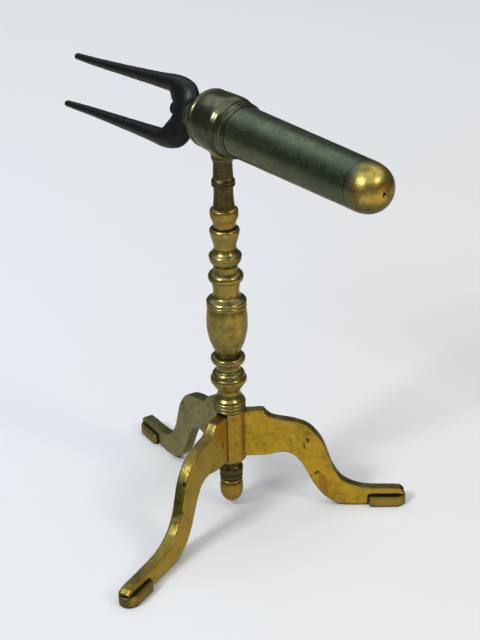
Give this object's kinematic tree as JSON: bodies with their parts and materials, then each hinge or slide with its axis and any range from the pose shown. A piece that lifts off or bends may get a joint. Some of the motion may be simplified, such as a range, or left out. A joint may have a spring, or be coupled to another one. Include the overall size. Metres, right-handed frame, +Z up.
{
  "type": "goffering iron",
  "caption": "Brass goffering iron: round-ended barrel with a forked iron heater, on a turned column over a cabriole tripod.",
  "frame": {"origin": "under the middle of the footprint, at floor level", "axes": "+Z up along the column, which stands at x -3.8 mm, y -12.3 mm; the right-hand leg points along +X within 1.3 degrees; the barrel's domed end points 54.3 degrees from +X towards -Y"},
  "size_m": [0.2194, 0.2636, 0.2819],
  "materials": {
    "cast_brass": "cast and filed, warm golden, tarnished in the hollows",
    "turned_brass": "turned, aged olive-gold with dark quirks",
    "dull_brass": "dull olive-grey patina",
    "polished_brass": "rubbed bright golden",
    "black_iron": "forged, near-black oxide",
    "rusty_iron": "brown rusted"
  },
  "bodies": {
    "tripod": {"tripod_hub": "cast_brass", "leg_right": "cast_brass", "leg_front": "cast_brass", "leg_back": "cast_brass", "foot_pad_right": "cast_brass", "foot_pad_front": "cast_brass", "foot_pad_back": "cast_brass"},
    "column": {"upper_stem": "turned_brass", "cone_knop": "turned_brass", "baluster_urn": "turned_brass", "lower_knop": "turned_brass", "ring_stack": "turned_brass", "saddle_boss": "turned_brass", "mouth_collar": "dull_brass", "barrel_tube": "dull_brass", "barrel_end_cap": "polished_brass", "tie_rod": "black_iron"},
    "heater": {"heater_slug": "rusty_iron"},
    "fork": {"heater_fork": "black_iron"},
    "washer": {"finial_washer": "dull_brass"},
    "finial": {"acorn_finial": "turned_brass"}
  },
  "joints": [
    {"name": "column_swivel", "type": "hinge", "parent": "tripod", "child": "column", "pos_m": [-0.00378, -0.01232, 0.0722], "axis": [0, 0, 1], "continuous": true},
    {"name": "heater_slide", "type": "slide", "parent": "column", "child": "heater", "axis": [-0.5835, 0.8121, 0], "range_m": [0, 0.15]},
    {"name": "fork_turn", "type": "hinge", "parent": "heater", "child": "fork", "pos_m": [-0.02683, 0.01976, 0.2604], "axis": [-0.5835, 0.8121, 0], "continuous": true},
    {"name": "washer_drop", "type": "slide", "parent": "column", "child": "washer", "axis": [0, 0, -1], "range_m": [0, 0.00265]},
    {"name": "finial_turn", "type": "hinge", "parent": "washer", "child": "finial", "pos_m": [-0.00378, -0.01232, 0.0213], "axis": [0, 0, -1], "range_deg": [0, 1080]}
  ],
  "couplings": [
    {"joint": "washer_drop", "follows": "finial_turn", "m_per_rad": 0.00012732}
  ]
}
